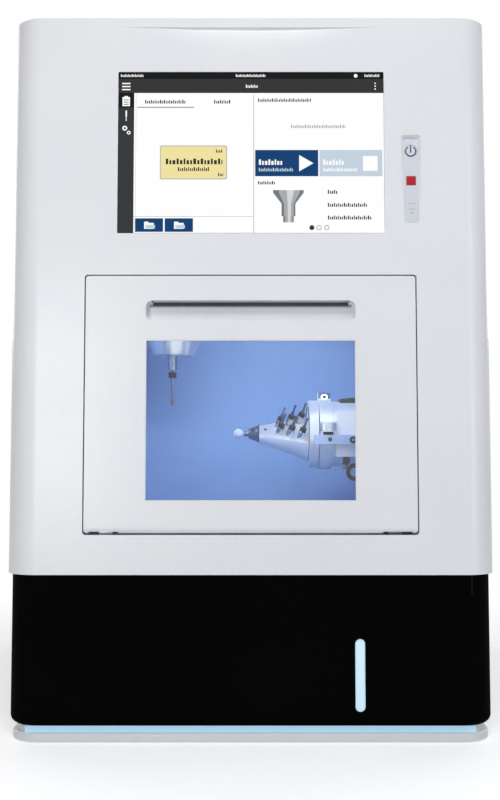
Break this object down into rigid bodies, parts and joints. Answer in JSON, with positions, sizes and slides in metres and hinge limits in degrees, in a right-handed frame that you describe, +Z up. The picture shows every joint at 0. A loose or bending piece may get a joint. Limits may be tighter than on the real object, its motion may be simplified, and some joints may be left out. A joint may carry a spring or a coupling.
{
  "type": "dental milling machine",
  "caption": "Benchtop dental milling machine: white housing with fold-down window door, touch screen, key channel, black coolant drawer, lit plinth, spindle and rotary axis.",
  "frame": {"origin": "centre of the footprint, on the surface the machine stands on", "axes": "+Z up, +X to the right seen from the front, +Y to the back; the front faces -Y"},
  "size_m": [0.386, 0.5, 0.5728],
  "materials": {
    "white_shell": "gloss",
    "black_base": "high gloss",
    "white_plinth": "satin",
    "light_blue": "glowing",
    "rubber_black": "matte",
    "sheet_steel": "brushed",
    "stainless": "satin",
    "aluminium": "machined",
    "bright_aluminium": "anodised",
    "steel": "ground",
    "black_plastic": "matte",
    "clear_pane": "clear",
    "screen": "gloss",
    "tank_plastic": "frosted",
    "key_white": "satin",
    "key_red": "satin",
    "zirconia": "matte",
    "board_green": "satin",
    "brass": "nickelled"
  },
  "bodies": {
    "machine": {"front_cover": "white_shell", "side_cover_left": "white_shell", "side_cover_right": "white_shell", "top_cover": "white_shell", "rear_panel": "sheet_steel", "base_shell": "black_base", "drawer_rails": "sheet_steel", "plinth": "white_plinth", "light_strip": "light_blue", "feet": "rubber_black", "deck": "sheet_steel", "chassis_left": "aluminium", "chassis_right": "aluminium", "bulkhead": "sheet_steel", "cross_beam": "aluminium", "fixed_rails": "steel", "fixed_motors": "black_plastic", "chamber_liner": "stainless", "chamber_lamp": "light_blue", "door_seal": "rubber_black", "lock_unit": "black_plastic", "hinge_brackets": "steel", "screen_glass": "screen", "screen_box": "black_plastic", "key_insert": "key_white", "power_supply": "sheet_steel", "control_board": "board_green", "fan_frame": "black_plastic", "mains_module": "black_plastic", "network_sockets": "sheet_steel", "air_inlet": "brass", "coolant_pump": "black_plastic"},
    "door": {"door_panel": "white_shell", "door_pane": "clear_pane", "pane_frame": "black_plastic"},
    "drawer": {"drawer_front": "black_base", "level_light": "light_blue", "coolant_tank": "tank_plastic"},
    "bolt": {"lock_bolt": "steel"},
    "power_button": {"power_key": "key_white"},
    "stop_button": {"stop_key": "key_red"},
    "x_slide": {"x_carriage": "aluminium", "x_cover": "stainless", "z_rails": "steel", "z_motor": "black_plastic"},
    "x_screw": {"x_screw": "steel"},
    "z_slide": {"z_carriage": "aluminium", "spindle_body": "bright_aluminium"},
    "z_screw": {"z_screw": "steel"},
    "spindle": {"spindle_shaft": "steel", "milling_tool": "steel"},
    "y_slide": {"y_carriage": "aluminium", "a_housing": "bright_aluminium"},
    "y_screw": {"y_screw": "steel"},
    "rotor": {"tool_cone": "bright_aluminium", "spare_tools": "steel", "mandrel": "steel", "blank": "zirconia"},
    "fan": {"fan_rotor": "black_plastic"},
    "rocker": {"mains_rocker": "black_plastic"}
  },
  "joints": [
    {"name": "door_hinge", "type": "hinge", "parent": "machine", "child": "door", "pos_m": [0, -0.245, 0.1655], "axis": [1, 0, 0], "range_deg": [0, 90]},
    {"name": "drawer_slide", "type": "slide", "parent": "machine", "child": "drawer", "axis": [0, -1, 0], "range_m": [0, 0.24]},
    {"name": "door_bolt", "type": "slide", "parent": "machine", "child": "bolt", "axis": [0, -1, 0], "range_m": [0, 0.006]},
    {"name": "power_press", "type": "slide", "parent": "machine", "child": "power_button", "axis": [0, 1, 0], "range_m": [0, 0.0006], "stiffness_N_per_m": 400},
    {"name": "stop_press", "type": "slide", "parent": "machine", "child": "stop_button", "axis": [0, 1, 0], "range_m": [0, 0.0006], "stiffness_N_per_m": 400},
    {"name": "x_axis", "type": "slide", "parent": "machine", "child": "x_slide", "axis": [1, 0, 0], "range_m": [0, 0.06]},
    {"name": "x_screw_turn", "type": "hinge", "parent": "machine", "child": "x_screw", "pos_m": [0, -0.052, 0.454], "axis": [1, 0, 0], "continuous": true},
    {"name": "z_axis", "type": "slide", "parent": "x_slide", "child": "z_slide", "axis": [0, 0, 1], "range_m": [-0.045, 0]},
    {"name": "z_screw_turn", "type": "hinge", "parent": "x_slide", "child": "z_screw", "pos_m": [-0.071, -0.08, 0.454], "axis": [0, 0, 1], "continuous": true},
    {"name": "spindle_turn", "type": "hinge", "parent": "z_slide", "child": "spindle", "pos_m": [-0.071, -0.13, 0.4], "axis": [0, 0, 1], "continuous": true},
    {"name": "y_axis", "type": "slide", "parent": "machine", "child": "y_slide", "axis": [0, 1, 0], "range_m": [-0.02, 0.02]},
    {"name": "y_screw_turn", "type": "hinge", "parent": "machine", "child": "y_screw", "pos_m": [0.166, -0.13, 0.2415], "axis": [0, 1, 0], "continuous": true},
    {"name": "rotary_axis", "type": "hinge", "parent": "y_slide", "child": "rotor", "pos_m": [0.05, -0.13, 0.2415], "axis": [1, 0, 0], "continuous": true},
    {"name": "fan_turn", "type": "hinge", "parent": "machine", "child": "fan", "pos_m": [0.09, 0.22, 0.48], "axis": [0, 1, 0], "continuous": true},
    {"name": "mains_rock", "type": "hinge", "parent": "machine", "child": "rocker", "pos_m": [-0.06, 0.233, 0.19], "axis": [1, 0, 0], "range_deg": [-8, 8]}
  ],
  "couplings": [
    {"joint": "x_screw_turn", "follows": "x_axis", "rad_per_m": 1570.8},
    {"joint": "z_screw_turn", "follows": "z_axis", "rad_per_m": 1570.8},
    {"joint": "y_screw_turn", "follows": "y_axis", "rad_per_m": 1570.8}
  ]
}
